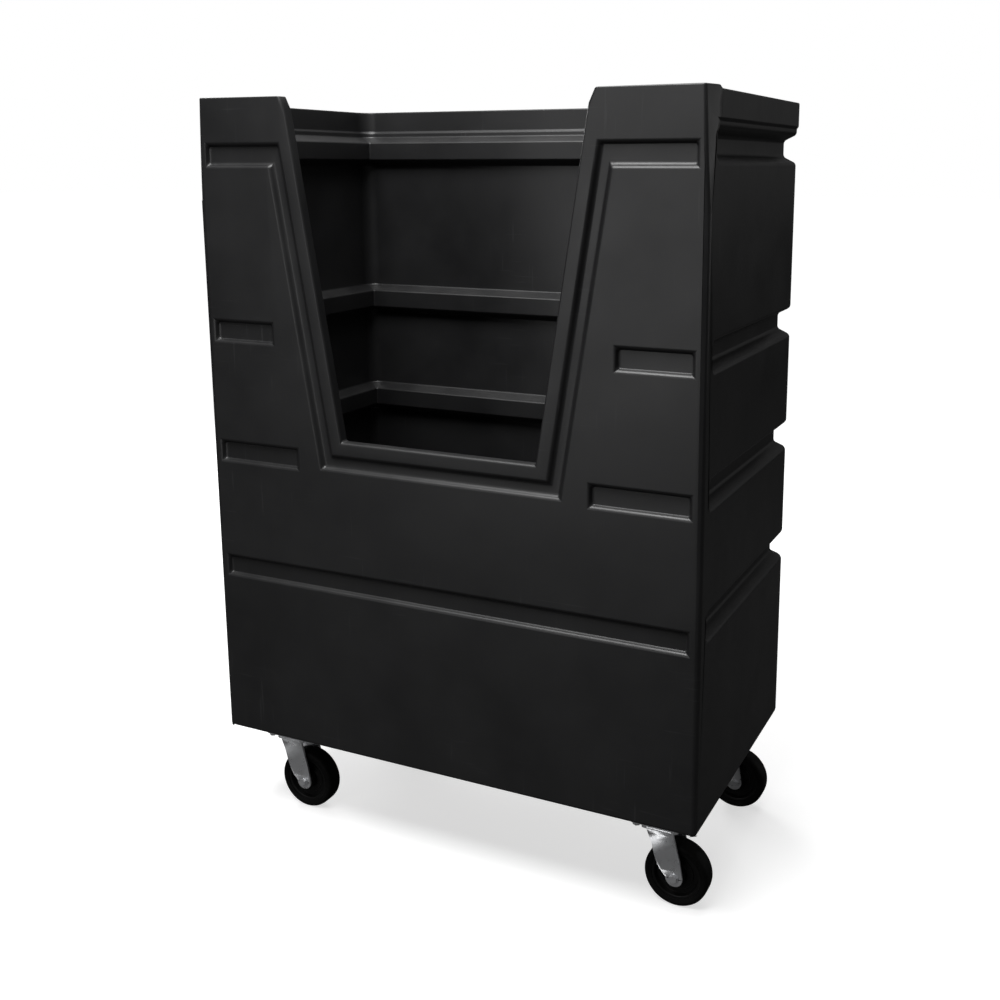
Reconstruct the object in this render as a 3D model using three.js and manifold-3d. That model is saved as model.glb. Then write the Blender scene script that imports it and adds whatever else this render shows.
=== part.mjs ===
// Tall bulk truck: a one-piece moulded tub with a V-shaped opening in its front wall, bolted through
// a deck board and two bolsters to four swivel casters.
// Millimetres. +Z is up, -Y is the front, and the origin is on the floor under the truck's middle.

import * as THREE from 'three';
import { mergeVertices } from 'three/addons/utils/BufferGeometryUtils.js';
import Module from 'manifold-3d';

const wasm = await Module();
wasm.setup();

// ---- Driving dimensions: tub ----
const POST_TOP = 1778;
const RIM_TOP = 1771;
const TUB_BOTTOM = 237;
const WIDTH = 1236;
const DEPTH = 686;
const WALL = 8;
const RIM_PROUD = 4;
const RIM_BOTTOM = 1716;
const POST_DEPTH = 37;
const POST_CORNER = 12;

// Grooves round both sides and the back, by the height of their middles.
const SIDE_GROOVES = [690, 973, 1256, 1665];
const GROOVE_HEIGHT = 66;
const GROOVE_DEPTH = 29;
const GROOVE_RUN = 15;

// Recesses in the front wall, all of one height, depth and flank.
const POCKET_HEIGHTS = { low: 666, lower: 954, upper: 1245, top: 1649 };
const POCKET_HEIGHT = 48;
const POCKET_DEPTH = 18;
const POCKET_FLANK = 9;
const POCKET_END = 593;
const LOWER_POCKET_START = 370;
const UPPER_POCKET_START = 426;

// V opening: half its width at the sill and how fast it widens upwards.
const SILL = 1006;
const SILL_HALF = 246;
const SPREAD = 0.16;
const OPENING_CORNER = 9;
const MOUTH_CHAMFER = 30;
const MOUTH_RUN = 14;
const LIP_BAND = 34.5;
const CHANNEL_WIDTH = 33.5;

// Flat wedge that takes off the front corners towards the top: its start, and its two legs at the top.
const WEDGE_START = 1450;
const WEDGE_FRONT_LEG = 14;
const WEDGE_SIDE_LEG = 48;

// ---- Driving dimensions: underframe and casters ----
const GAP = 0.3;
const DECK_THICKNESS = 12;
const DECK_INSET = 30;
const PLATE_TOP = 203;
const PLATE_THICKNESS = 6;
const BOLSTER_WIDTH = 130;
const BOLSTER_LENGTH = 562;
const CASTER_X = 501;
const CASTER_Y = 229;
const BOLT_SPACING = [90, 76];
const BOLT_RADIUS = 5;
const WHEEL_RADIUS = 75;
const WHEEL_FACETS = 24;
const TRAIL = 42;
const FORK_GAP = 56;
const FORK_STEEL = 5;
const CROWN_TOP = 186;
const CROWN_THICKNESS = 6;
const KINGPIN_RADIUS = 8;
const AXLE_RADIUS = 6.3;

const FRONT = -(DEPTH + RIM_PROUD) / 2;
const BACK = FRONT + DEPTH;
const HALF = WIDTH / 2;
const DECK_TOP = TUB_BOTTOM - GAP;
const DECK_BOTTOM = DECK_TOP - DECK_THICKNESS;
const BOLSTER_TOP = DECK_BOTTOM - GAP;
const BOLSTER_BOTTOM = PLATE_TOP + GAP;
const PLATE_BOTTOM = PLATE_TOP - PLATE_THICKNESS;

// ---- Materials ----
const finish = (color, roughness, metalness) =>
  new THREE.MeshStandardMaterial({ color, roughness, metalness });
const polyethylene = () => finish(0x1c1c1d, 0.5, 0);
const plywood = () => finish(0xb08a5a, 0.8, 0);
const hardwood = () => finish(0x9c7446, 0.8, 0);
const zinc = () => finish(0xc9ccd0, 0.35, 1);
const darkSteel = () => finish(0x4b4d50, 0.45, 1);
const treadRubber = () => finish(0x0d0d0e, 0.75, 0);
const wheelPlastic = () => finish(0x161617, 0.55, 0);

// ---- Solids: join and cut ----
function solid(geometry) {
  const bare = geometry.clone();
  bare.deleteAttribute('normal');
  bare.deleteAttribute('uv');
  const merged = mergeVertices(bare, 1e-4);
  const index = merged.index.array;
  const corners = [];
  for (let i = 0; i < index.length; i += 3) {
    const [a, b, c] = [index[i], index[i + 1], index[i + 2]];
    if (a !== b && b !== c && c !== a) corners.push(a, b, c);
  }
  return new wasm.Manifold(new wasm.Mesh({
    numProp: 3,
    vertProperties: merged.attributes.position.array,
    triVerts: new Uint32Array(corners),
  }));
}

function geometryOf(manifold) {
  const mesh = manifold.getMesh();
  const geometry = new THREE.BufferGeometry();
  geometry.setAttribute('position', new THREE.BufferAttribute(mesh.vertProperties, 3));
  geometry.setIndex(new THREE.BufferAttribute(mesh.triVerts, 1));
  geometry.computeVertexNormals();
  return geometry;
}

const joined = (solids) => solids.reduce((all, one) => all.add(one));
const cut = (body, cutters) => cutters.reduce((left, one) => left.subtract(one), body);

// ---- Shapes ----
function roundedRect(x0, y0, x1, y1, r) {
  const shape = new THREE.Shape();
  shape.absarc(x1 - r, y1 - r, r, 0, Math.PI / 2);
  shape.absarc(x0 + r, y1 - r, r, Math.PI / 2, Math.PI);
  shape.absarc(x0 + r, y0 + r, r, Math.PI, 1.5 * Math.PI);
  shape.absarc(x1 - r, y0 + r, r, 1.5 * Math.PI, 2 * Math.PI);
  return shape;
}

const polygon = (points) => new THREE.Shape(points.map(([x, y]) => new THREE.Vector2(x, y)));

// Extruded up from z0 to z1; with a flare, each end tapers in by that much over a run beyond it.
function upright(shape, z0, z1, flare = 0, run = 0) {
  const geometry = new THREE.ExtrudeGeometry(shape, {
    depth: z1 - z0,
    curveSegments: 2,
    bevelEnabled: flare > 0,
    bevelSegments: 1,
    bevelSize: flare,
    bevelThickness: run,
  });
  return geometry.translate(0, 0, z0);
}

// Extruded along Y from yBack forward to yFront, from an outline drawn in X and Z. It is grown by
// grow all round, and with a flank it narrows by that much over the last run before yBack.
function frontwards(shape, yBack, yFront, { flank = 0, run = 0, grow = 0 } = {}) {
  const geometry = new THREE.ExtrudeGeometry(shape, {
    depth: yBack - yFront - run,
    curveSegments: 3,
    bevelEnabled: flank > 0,
    bevelSegments: 1,
    bevelSize: flank,
    bevelOffset: grow - flank,
    bevelThickness: run,
  });
  return geometry.translate(0, 0, run - yBack).rotateX(Math.PI / 2);
}

// A turned piece about the Y axis from [radius, y] points, and the same about the Z axis.
function turned(points, facets) {
  const profile = points.map(([r, y]) => new THREE.Vector2(r, y));
  return new THREE.LatheGeometry(profile, facets, Math.PI / facets);
}

const turnedUpright = (points, facets) => turned(points, facets).rotateX(Math.PI / 2);

function ring(inner, outer, low, high) {
  return [[inner, low], [outer, low], [outer, high], [inner, high], [inner, low]];
}

const rod = (radius, low, high) => [[0, low], [radius, low], [radius, high], [0, high]];

// ---- Tub ----

// The tub's outside, or its hollow when it is drawn a wall thinner: a slim core, a full band between
// each two grooves, the front posts and the rim.
function tubBody(wall, bottom, top) {
  const inset = GROOVE_DEPTH + wall;
  const core = roundedRect(
    -HALF + inset, FRONT + Math.max(wall, POST_DEPTH / 2 - 2 * wall), HALF - inset, BACK - inset, 4,
  );
  const band = roundedRect(-HALF + inset, FRONT + inset, HALF - inset, BACK - inset, 4);
  const shift = (wall * (Math.hypot(GROOVE_DEPTH, GROOVE_RUN) - GROOVE_RUN)) / GROOVE_DEPTH;
  const half = GROOVE_HEIGHT / 2 + shift;
  const edges = [bottom - GROOVE_RUN, ...SIDE_GROOVES.flatMap((z) => [z - half, z + half])];
  edges.push(top + GROOVE_RUN);
  const parts = [upright(core, bottom, top)];
  for (let i = 0; i < edges.length; i += 2) {
    parts.push(upright(band, edges[i], edges[i + 1], GROOVE_DEPTH, GROOVE_RUN));
  }
  const out = RIM_PROUD - wall;
  const rim = roundedRect(-HALF - out, FRONT + POST_DEPTH, HALF + out, BACK + out, 30 + out);
  parts.push(upright(rim, RIM_BOTTOM + wall / 2, top));
  const cropped = roundedRect(-WIDTH, -DEPTH, WIDTH, DEPTH, 1);
  const body = joined(parts.map(solid)).intersect(solid(upright(cropped, bottom, top)));
  const posts = roundedRect(
    -HALF + wall, FRONT + wall, HALF - wall, FRONT + POST_DEPTH - wall, POST_CORNER - wall,
  );
  return body.add(solid(upright(posts, bottom, wall > 0 ? top : POST_TOP)));
}

const halfWidth = (z) => SILL_HALF + SPREAD * (z - SILL);

// Outline of the V opening, grown sideways and down by an even margin; it runs out over the top.
function openingOutline(margin) {
  const sill = SILL - margin;
  const r = OPENING_CORNER + margin / 2;
  const edge = (z) => halfWidth(z) + margin * Math.hypot(1, SPREAD);
  const mouth = POST_TOP - MOUTH_CHAMFER;
  const over = POST_TOP + MOUTH_CHAMFER;
  const shape = new THREE.Shape();
  shape.moveTo(-edge(sill) + r, sill);
  shape.lineTo(edge(sill) - r, sill);
  shape.quadraticCurveTo(edge(sill), sill, edge(sill + r), sill + r);
  shape.lineTo(edge(mouth), mouth);
  shape.lineTo(edge(mouth) + 2 * MOUTH_RUN, over);
  shape.lineTo(-edge(mouth) - 2 * MOUTH_RUN, over);
  shape.lineTo(-edge(mouth), mouth);
  shape.lineTo(-edge(sill + r), sill + r);
  shape.quadraticCurveTo(-edge(sill), sill, -edge(sill) + r, sill);
  return shape;
}

// Channel that follows the opening's lip and turns outwards along the top of each front post.
function channelOutline() {
  const slant = Math.hypot(1, SPREAD);
  const near = (z) => halfWidth(z) + LIP_BAND;
  const far = (z) => halfWidth(z) + LIP_BAND + CHANNEL_WIDTH;
  const top = POCKET_HEIGHTS.top + POCKET_HEIGHT / 2;
  const bottom = POCKET_HEIGHTS.top - POCKET_HEIGHT / 2;
  const ledge = SILL - LIP_BAND / slant;
  const floor = ledge - CHANNEL_WIDTH / slant;
  const right = [
    [far(floor), floor], [far(bottom), bottom], [POCKET_END, bottom], [POCKET_END, top],
    [near(top), top], [near(ledge), ledge],
  ];
  const left = right.map(([x, z]) => [-x, z]).reverse();
  return polygon([...right, ...left]);
}

function pocketOutlines() {
  const box = (x0, x1, middle) => {
    const [low, high] = [middle - POCKET_HEIGHT / 2, middle + POCKET_HEIGHT / 2];
    return polygon([[x0, low], [x1, low], [x1, high], [x0, high]]);
  };
  const pair = (start, middle) => [
    box(start, POCKET_END, middle), box(-POCKET_END, -start, middle),
  ];
  return [
    channelOutline(),
    box(-POCKET_END, POCKET_END, POCKET_HEIGHTS.low),
    ...pair(LOWER_POCKET_START, POCKET_HEIGHTS.lower),
    ...pair(UPPER_POCKET_START, POCKET_HEIGHTS.upper),
  ];
}

// Block whose slanted face takes the wedge off one front corner, moved in by depth.
function cornerWedge(side, depth) {
  const rise = POST_TOP - WEDGE_START;
  const normal = new THREE.Vector3(side / WEDGE_FRONT_LEG, -1 / WEDGE_SIDE_LEG, 1 / rise).normalize();
  const onFace = new THREE.Vector3(side * HALF, FRONT, WEDGE_START);
  const block = new THREE.BoxGeometry(400, 400, 1600);
  const turn = new THREE.Quaternion().setFromUnitVectors(new THREE.Vector3(1, 0, 0), normal);
  block.applyQuaternion(turn);
  const middle = onFace.addScaledVector(normal, 200 - depth);
  return solid(block.translate(middle.x, middle.y, middle.z));
}

const casterPlaces = [
  ['front_left', -CASTER_X, -CASTER_Y],
  ['front_right', CASTER_X, -CASTER_Y],
  ['rear_left', -CASTER_X, CASTER_Y],
  ['rear_right', CASTER_X, CASTER_Y],
];

// Places of the four bolts of the caster at x, y.
function boltPlaces(x, y) {
  const [dx, dy] = BOLT_SPACING.map((spacing) => spacing / 2);
  return [[x - dx, y - dy], [x + dx, y - dy], [x - dx, y + dy], [x + dx, y + dy]];
}

const allBolts = casterPlaces.flatMap(([, x, y]) => boltPlaces(x, y));

const boltHoles = (places, low, high) => places.map(([x, y]) =>
  solid(turnedUpright(rod(BOLT_RADIUS + 2 * GAP, low, high), 8).translate(x, y, 0)));

function tubShell() {
  const pockets = pocketOutlines();
  const recess = { flank: POCKET_FLANK, run: POCKET_DEPTH };
  const outer = cut(tubBody(0, TUB_BOTTOM, RIM_TOP), [
    ...pockets.map((shape) => solid(frontwards(shape, FRONT + POCKET_DEPTH, FRONT - 60, recess))),
    cornerWedge(1, 0),
    cornerWedge(-1, 0),
  ]);
  const deep = FRONT + POCKET_DEPTH + WALL;
  const grown = { ...recess, grow: WALL * 0.62 };
  const hollow = cut(tubBody(WALL, TUB_BOTTOM + WALL, POST_TOP + 20), [
    ...pockets.map((shape) => solid(frontwards(shape, deep, FRONT - 60, grown))),
    solid(frontwards(openingOutline(WALL), deep, FRONT - 60)),
    cornerWedge(1, WALL),
    cornerWedge(-1, WALL),
  ]);
  const opening = solid(frontwards(openingOutline(0), FRONT + 3 * POST_DEPTH, FRONT - 60));
  const holes = boltHoles(allBolts, TUB_BOTTOM - 5, TUB_BOTTOM + WALL + 5);
  return geometryOf(cut(outer, [hollow, opening, ...holes]));
}

// ---- Underframe ----
function deckBoard() {
  const outline = roundedRect(
    -HALF + DECK_INSET, FRONT + DECK_INSET, HALF - DECK_INSET, BACK - DECK_INSET, 15,
  );
  const board = solid(upright(outline, DECK_BOTTOM, DECK_TOP));
  return geometryOf(cut(board, boltHoles(allBolts, DECK_BOTTOM - 5, DECK_TOP + 5)));
}

function bolster(x) {
  const height = BOLSTER_TOP - BOLSTER_BOTTOM;
  const beam = new THREE.BoxGeometry(BOLSTER_WIDTH, BOLSTER_LENGTH, height);
  beam.translate(x, 0, BOLSTER_BOTTOM + height / 2);
  const places = allBolts.filter(([boltX]) => Math.abs(boltX - x) < BOLSTER_WIDTH / 2);
  return geometryOf(cut(solid(beam), boltHoles(places, BOLSTER_BOTTOM - 5, BOLSTER_TOP + 5)));
}

// Round-headed bolt from inside the tub down through the caster plate.
function carriageBolt() {
  const seat = TUB_BOTTOM + WALL + GAP;
  const tip = PLATE_BOTTOM - 9;
  return turnedUpright([
    [0, tip], [BOLT_RADIUS, tip], [BOLT_RADIUS, seat], [11, seat], [8, seat + 4], [0, seat + 5.5],
  ], 8);
}

// ---- Caster, drawn about its kingpin with the wheel trailing towards +X ----
function topPlate() {
  const outline = roundedRect(-57, -51, 57, 51, 8);
  const plate = solid(upright(outline, PLATE_BOTTOM, PLATE_TOP));
  return geometryOf(cut(plate, boltHoles(boltPlaces(0, 0), PLATE_BOTTOM - 5, PLATE_TOP + 5)));
}

function ballRace() {
  const low = CROWN_TOP + GAP;
  const high = PLATE_BOTTOM - GAP;
  return turnedUpright([
    [12, low], [30, low], [34, low + 3], [36, high], [12, high], [12, low],
  ], 16);
}

function kingpin() {
  const crownBottom = CROWN_TOP - CROWN_THICKNESS;
  const seat = crownBottom - GAP;
  const shank = turnedUpright(rod(KINGPIN_RADIUS, seat - 3, PLATE_BOTTOM - GAP), 16);
  const nut = new THREE.CylinderGeometry(14, 14, 10, 6).rotateX(Math.PI / 2);
  return geometryOf(solid(shank).add(solid(nut.translate(0, 0, seat - 5))));
}

function fork() {
  const crownBottom = CROWN_TOP - CROWN_THICKNESS;
  const outerHalf = FORK_GAP / 2 + FORK_STEEL;
  const leg = new THREE.Shape();
  leg.moveTo(-24, CROWN_TOP);
  leg.lineTo(-24, crownBottom);
  leg.lineTo(-14, 156);
  leg.lineTo(5, 92);
  leg.absarc(TRAIL, WHEEL_RADIUS, 20, 1.13 * Math.PI, 2.06 * Math.PI);
  leg.lineTo(55, 118);
  leg.lineTo(40, 172);
  leg.lineTo(39, CROWN_TOP);
  const crown = roundedRect(-37, -outerHalf, 41, outerHalf, 14);
  const blank = solid(frontwards(leg, outerHalf, -outerHalf))
    .add(solid(upright(crown, crownBottom, CROWN_TOP)));
  const wheelSpace = new THREE.BoxGeometry(200, FORK_GAP, crownBottom);
  const axleHole = turned(rod(AXLE_RADIUS + GAP, -60, 60), 16);
  return geometryOf(cut(blank, [
    solid(wheelSpace.translate(TRAIL, 0, crownBottom / 2)),
    solid(axleHole.translate(TRAIL, 0, WHEEL_RADIUS)),
    solid(turnedUpright(rod(KINGPIN_RADIUS + GAP, 160, 200), 16)),
  ]));
}

// Pieces on the axle are drawn about the Y axis through the origin.
const forkFace = FORK_GAP / 2 + FORK_STEEL + GAP;

function axleBolt() {
  const head = new THREE.CylinderGeometry(9.8, 9.8, 7, 6).translate(0, -forkFace - 3.5, 0);
  const shank = turned(rod(AXLE_RADIUS, -forkFace - 3, forkFace + 10), 16);
  return geometryOf(solid(head).add(solid(shank)));
}

function axleNut() {
  const nut = new THREE.CylinderGeometry(9.8, 9.8, 8, 6).translate(0, forkFace + 4, 0);
  return geometryOf(cut(solid(nut), [solid(turned(rod(AXLE_RADIUS + GAP, 0, 60), 16))]));
}

const axleSleeve = () => turned(ring(6.8, 9.5, GAP - FORK_GAP / 2, FORK_GAP / 2 - GAP), 16);

const rollerBearing = () => turned(ring(10, 14.6, -24, 24), 16);

// The core and the tread are drawn so that one flat facet lies level at the bottom.
const facetScale = 1 / Math.cos(Math.PI / WHEEL_FACETS);

function wheelCore() {
  return turned([
    [15, -25], [23, -25], [26, -8], [49, -8], [52, -19], [57.5, -19],
    [57.5, 19], [52, 19], [49, 8], [26, 8], [23, 25], [15, 25], [15, -25],
  ].map(([r, y]) => [r * facetScale, y]), WHEEL_FACETS);
}

function wheelTread() {
  return turned([
    [57.5 + GAP, -21], [70, -23], [74, -19], [WHEEL_RADIUS, -12], [WHEEL_RADIUS, 12], [74, 19],
    [70, 23], [57.5 + GAP, 21], [57.5 + GAP, -21],
  ].map(([r, y]) => [r * facetScale, y]), WHEEL_FACETS);
}

// ---- Assembly ----
function piece(name, geometry, material) {
  const mesh = new THREE.Mesh(geometry, material);
  mesh.name = name;
  return mesh;
}

function caster(name, x, y) {
  const group = new THREE.Group();
  group.position.set(x, y, 0);
  group.add(
    piece(`${name}_top_plate`, topPlate(), zinc()),
    piece(`${name}_ball_race`, ballRace(), zinc()),
    piece(`${name}_kingpin`, kingpin(), zinc()),
    piece(`${name}_fork`, fork(), zinc()),
  );
  const axle = new THREE.Group();
  axle.position.set(TRAIL, 0, WHEEL_RADIUS);
  axle.add(
    piece(`${name}_axle_bolt`, axleBolt(), zinc()),
    piece(`${name}_axle_nut`, axleNut(), zinc()),
    piece(`${name}_axle_sleeve`, axleSleeve(), darkSteel()),
    piece(`${name}_roller_bearing`, rollerBearing(), darkSteel()),
    piece(`${name}_wheel_core`, wheelCore(), wheelPlastic()),
    piece(`${name}_wheel_tread`, wheelTread(), treadRubber()),
  );
  group.add(axle);
  boltPlaces(0, 0).forEach(([boltX, boltY], i) => {
    const bolt = piece(`${name}_plate_bolt_${i + 1}`, carriageBolt(), zinc());
    bolt.position.set(boltX, boltY, 0);
    group.add(bolt);
  });
  return group;
}

const truck = new THREE.Group();
truck.add(
  piece('tub_shell', tubShell(), polyethylene()),
  piece('deck_board', deckBoard(), plywood()),
  piece('left_bolster', bolster(-CASTER_X), hardwood()),
  piece('right_bolster', bolster(CASTER_X), hardwood()),
);
casterPlaces.forEach(([name, x, y]) => truck.add(caster(name, x, y)));

export default truck;
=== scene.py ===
"""Tall moulded bulk truck on four swivel casters: the looks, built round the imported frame. Metres."""

import math

import bmesh
import bpy
from mathutils import Matrix, Vector
from mathutils.bvhtree import BVHTree


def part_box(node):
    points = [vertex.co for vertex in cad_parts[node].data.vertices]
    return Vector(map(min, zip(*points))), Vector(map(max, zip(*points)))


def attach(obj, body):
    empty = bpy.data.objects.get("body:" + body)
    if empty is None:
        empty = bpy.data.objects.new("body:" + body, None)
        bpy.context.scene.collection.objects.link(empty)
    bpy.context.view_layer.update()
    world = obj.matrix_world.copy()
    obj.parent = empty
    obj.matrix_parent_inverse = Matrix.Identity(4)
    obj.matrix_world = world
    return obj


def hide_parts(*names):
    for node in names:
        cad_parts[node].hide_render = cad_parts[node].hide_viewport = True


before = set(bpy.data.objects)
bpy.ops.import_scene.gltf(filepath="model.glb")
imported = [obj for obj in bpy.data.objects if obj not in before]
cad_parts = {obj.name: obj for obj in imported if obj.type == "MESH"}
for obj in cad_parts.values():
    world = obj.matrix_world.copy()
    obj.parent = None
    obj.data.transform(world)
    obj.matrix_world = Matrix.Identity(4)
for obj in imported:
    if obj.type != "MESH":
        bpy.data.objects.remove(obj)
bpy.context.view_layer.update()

MM = 0.001
CORNERS = ("front_left", "front_right", "rear_left", "rear_right")


# ---- Working by hand: selecting and editing ----
def deselect_all():
    bpy.ops.object.select_all(action="DESELECT")


def start_piece(name):
    """The primitive just added becomes a named piece with its place in its mesh."""
    piece = bpy.context.active_object
    piece.name = name
    piece.data.name = name
    bpy.ops.object.transform_apply(location=True, rotation=True, scale=True)
    return piece


def block(name, low, high):
    deselect_all()
    low, high = Vector(low), Vector(high)
    bpy.ops.mesh.primitive_cube_add(size=1, location=(low + high) / 2, scale=high - low)
    return start_piece(name)


def edit(piece, mode="FACE"):
    deselect_all()
    bpy.context.view_layer.objects.active = piece
    piece.select_set(True)
    bpy.ops.object.mode_set(mode="EDIT")
    bpy.ops.mesh.select_mode(type=mode)
    bpy.ops.mesh.select_all(action="DESELECT")


def done():
    bpy.ops.object.mode_set(mode="OBJECT")


def pick_faces(piece, test):
    """Selects exactly the faces whose middle and normal pass the test."""
    bpy.ops.mesh.select_mode(type="FACE")
    mesh = bmesh.from_edit_mesh(piece.data)
    for face in mesh.faces:
        face.select_set(False)
    for face in mesh.faces:
        if test(face.calc_center_median(), face.normal):
            face.select_set(True)
    bmesh.update_edit_mesh(piece.data)


def pick_edges(piece, test):
    """Selects exactly the edges whose two ends pass the test."""
    bpy.ops.mesh.select_mode(type="EDGE")
    mesh = bmesh.from_edit_mesh(piece.data)
    for edge in mesh.edges:
        edge.select_set(False)
    for edge in mesh.edges:
        if test(edge.verts[0].co, edge.verts[1].co):
            edge.select_set(True)
    bmesh.update_edit_mesh(piece.data)


def pick_points(piece, test):
    bpy.ops.mesh.select_mode(type="VERT")
    mesh = bmesh.from_edit_mesh(piece.data)
    for point in mesh.verts:
        point.select_set(test(point.co))
    mesh.select_flush_mode()
    bmesh.update_edit_mesh(piece.data)


def mark_faces(piece, mark, test):
    """Gives the faces that pass the test a material number of their own, which keeps their outline."""
    mesh = bmesh.from_edit_mesh(piece.data)
    for face in mesh.faces:
        if test(face.calc_center_median(), face.normal):
            face.material_index = mark
    bmesh.update_edit_mesh(piece.data)


def pick_marked(piece, mark):
    bpy.ops.mesh.select_mode(type="FACE")
    mesh = bmesh.from_edit_mesh(piece.data)
    for face in mesh.faces:
        face.select_set(face.material_index == mark)
    bmesh.update_edit_mesh(piece.data)


def slice_faces(piece, point, normal, test):
    """Cuts the faces that pass the test along a plane, and keeps both sides."""
    pick_faces(piece, test)
    bpy.ops.mesh.bisect(plane_co=point, plane_no=normal, threshold=1e-6)


def add_modifier(piece, kind, **settings):
    modifier = piece.modifiers.new(kind.lower(), kind)
    for key, value in settings.items():
        setattr(modifier, key, value)
    deselect_all()
    bpy.context.view_layer.objects.active = piece
    piece.select_set(True)
    bpy.ops.object.modifier_apply(modifier=modifier.name)


def round_edges(piece, width, segments=2, angle=30):
    add_modifier(
        piece, "BEVEL", width=width, segments=segments, limit_method="ANGLE",
        angle_limit=math.radians(angle), miter_outer="MITER_ARC", use_clamp_overlap=True,
    )


def smooth(piece, angle=35):
    deselect_all()
    bpy.context.view_layer.objects.active = piece
    piece.select_set(True)
    bpy.ops.object.shade_smooth_by_angle(angle=math.radians(angle))
    add_modifier(piece, "WEIGHTED_NORMAL", keep_sharp=True, weight=60)


# ---- Tub ----
shell_low, shell_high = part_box("tub_shell")
RIM_PROUD = 4 * MM
HALF = shell_high.x - RIM_PROUD
FRONT = shell_low.y
BACK = shell_high.y - RIM_PROUD
TUB_BOTTOM = shell_low.z
POST_TOP = shell_high.z
RIM_TOP = POST_TOP - 7 * MM
RIM_BOTTOM = POST_TOP - 62 * MM
WALL = 8 * MM
REAR_CORNER = 41 * MM
POST_CORNER = 12 * MM
POST_DEPTH = 37 * MM

SIDE_GROOVES = (0.690, 0.973, 1.256, 1.665)
GROOVE_HEIGHT = 66 * MM
GROOVE_DEPTH = 29 * MM
GROOVE_RUN = 15 * MM

POCKET_HEIGHTS = {"low": 0.666, "lower": 0.954, "upper": 1.245, "top": 1.649}
POCKET_HEIGHT = 48 * MM
POCKET_DEPTH = 10 * MM
POCKET_FLANK = 4 * MM
POCKET_END = 0.593
LOWER_POCKET_START = 0.370
UPPER_POCKET_START = 0.426

SILL = 1.006
SILL_HALF = 0.246
SPREAD = 0.16
MOUTH_CHAMFER = 30 * MM
MOUTH_SLOPE = 14 / 30
LIP_BAND = 34.5 * MM
CHANNEL_WIDTH = 33.5 * MM
LIP_RETURN = 26 * MM
WEDGE_START = 1.450
WEDGE_FRONT_LEG = 14 * MM
WEDGE_SIDE_LEG = 48 * MM
SLANT = math.hypot(1, SPREAD)


def opening_half(z, margin=0.0):
    return SILL_HALF + SPREAD * (z - SILL) + margin


def on_front(middle, normal):
    return normal.y < -0.99 and middle.y < FRONT + MM


def slice_front(tub, point, normal):
    slice_faces(tub, point, normal, on_front)


def in_channel(middle):
    """Inside the channel that follows the lip and turns outwards along the top of each post."""
    x, z = abs(middle.x), middle.z
    top = POCKET_HEIGHTS["top"] + POCKET_HEIGHT / 2
    bottom = POCKET_HEIGHTS["top"] - POCKET_HEIGHT / 2
    ledge = SILL - LIP_BAND / SLANT
    floor = ledge - CHANNEL_WIDTH / SLANT
    if not floor < z < top or x > POCKET_END:
        return False
    if z < ledge:
        return x < opening_half(z, LIP_BAND + CHANNEL_WIDTH)
    if x < opening_half(z, LIP_BAND):
        return False
    return z > bottom or x < opening_half(z, LIP_BAND + CHANNEL_WIDTH)


def in_pocket(middle):
    x, z = abs(middle.x), middle.z
    rows = (("low", 0.0), ("lower", LOWER_POCKET_START), ("upper", UPPER_POCKET_START))
    return any(
        abs(z - POCKET_HEIGHTS[row]) < POCKET_HEIGHT / 2 and start < x < POCKET_END
        for row, start in rows
    )


def cut_front(tub):
    """Draws the outlines of the opening, the channel and the pockets on the front wall."""
    slice_front(tub, (0, FRONT, SILL), (1, 0, 0))
    levels = [SILL, SILL - LIP_BAND / SLANT, SILL - (LIP_BAND + CHANNEL_WIDTH) / SLANT]
    for middle in POCKET_HEIGHTS.values():
        levels += [middle - POCKET_HEIGHT / 2, middle + POCKET_HEIGHT / 2]
    for z in levels:
        slice_front(tub, (0, FRONT, z), (0, 0, 1))
    for side in (-1, 1):
        for x in (POCKET_END, LOWER_POCKET_START, UPPER_POCKET_START):
            slice_front(tub, (side * x, FRONT, SILL), (1, 0, 0))
        for margin in (0, LIP_BAND, LIP_BAND + CHANNEL_WIDTH):
            foot = (side * opening_half(SILL, margin), FRONT, SILL)
            slice_front(tub, foot, (1, 0, -side * SPREAD))
        mouth = (side * opening_half(POST_TOP - MOUTH_CHAMFER), FRONT, POST_TOP - MOUTH_CHAMFER)
        slice_faces(tub, mouth, (1, 0, -side * MOUTH_SLOPE), lambda middle, normal: (
            on_front(middle, normal) and middle.z > POCKET_HEIGHTS["top"] and side * middle.x > 0))


def in_opening(middle):
    over = max(0, middle.z - (POST_TOP - MOUTH_CHAMFER)) * MOUTH_SLOPE
    half = opening_half(min(middle.z, POST_TOP - MOUTH_CHAMFER)) + over
    return middle.z > SILL and abs(middle.x) < half


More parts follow.
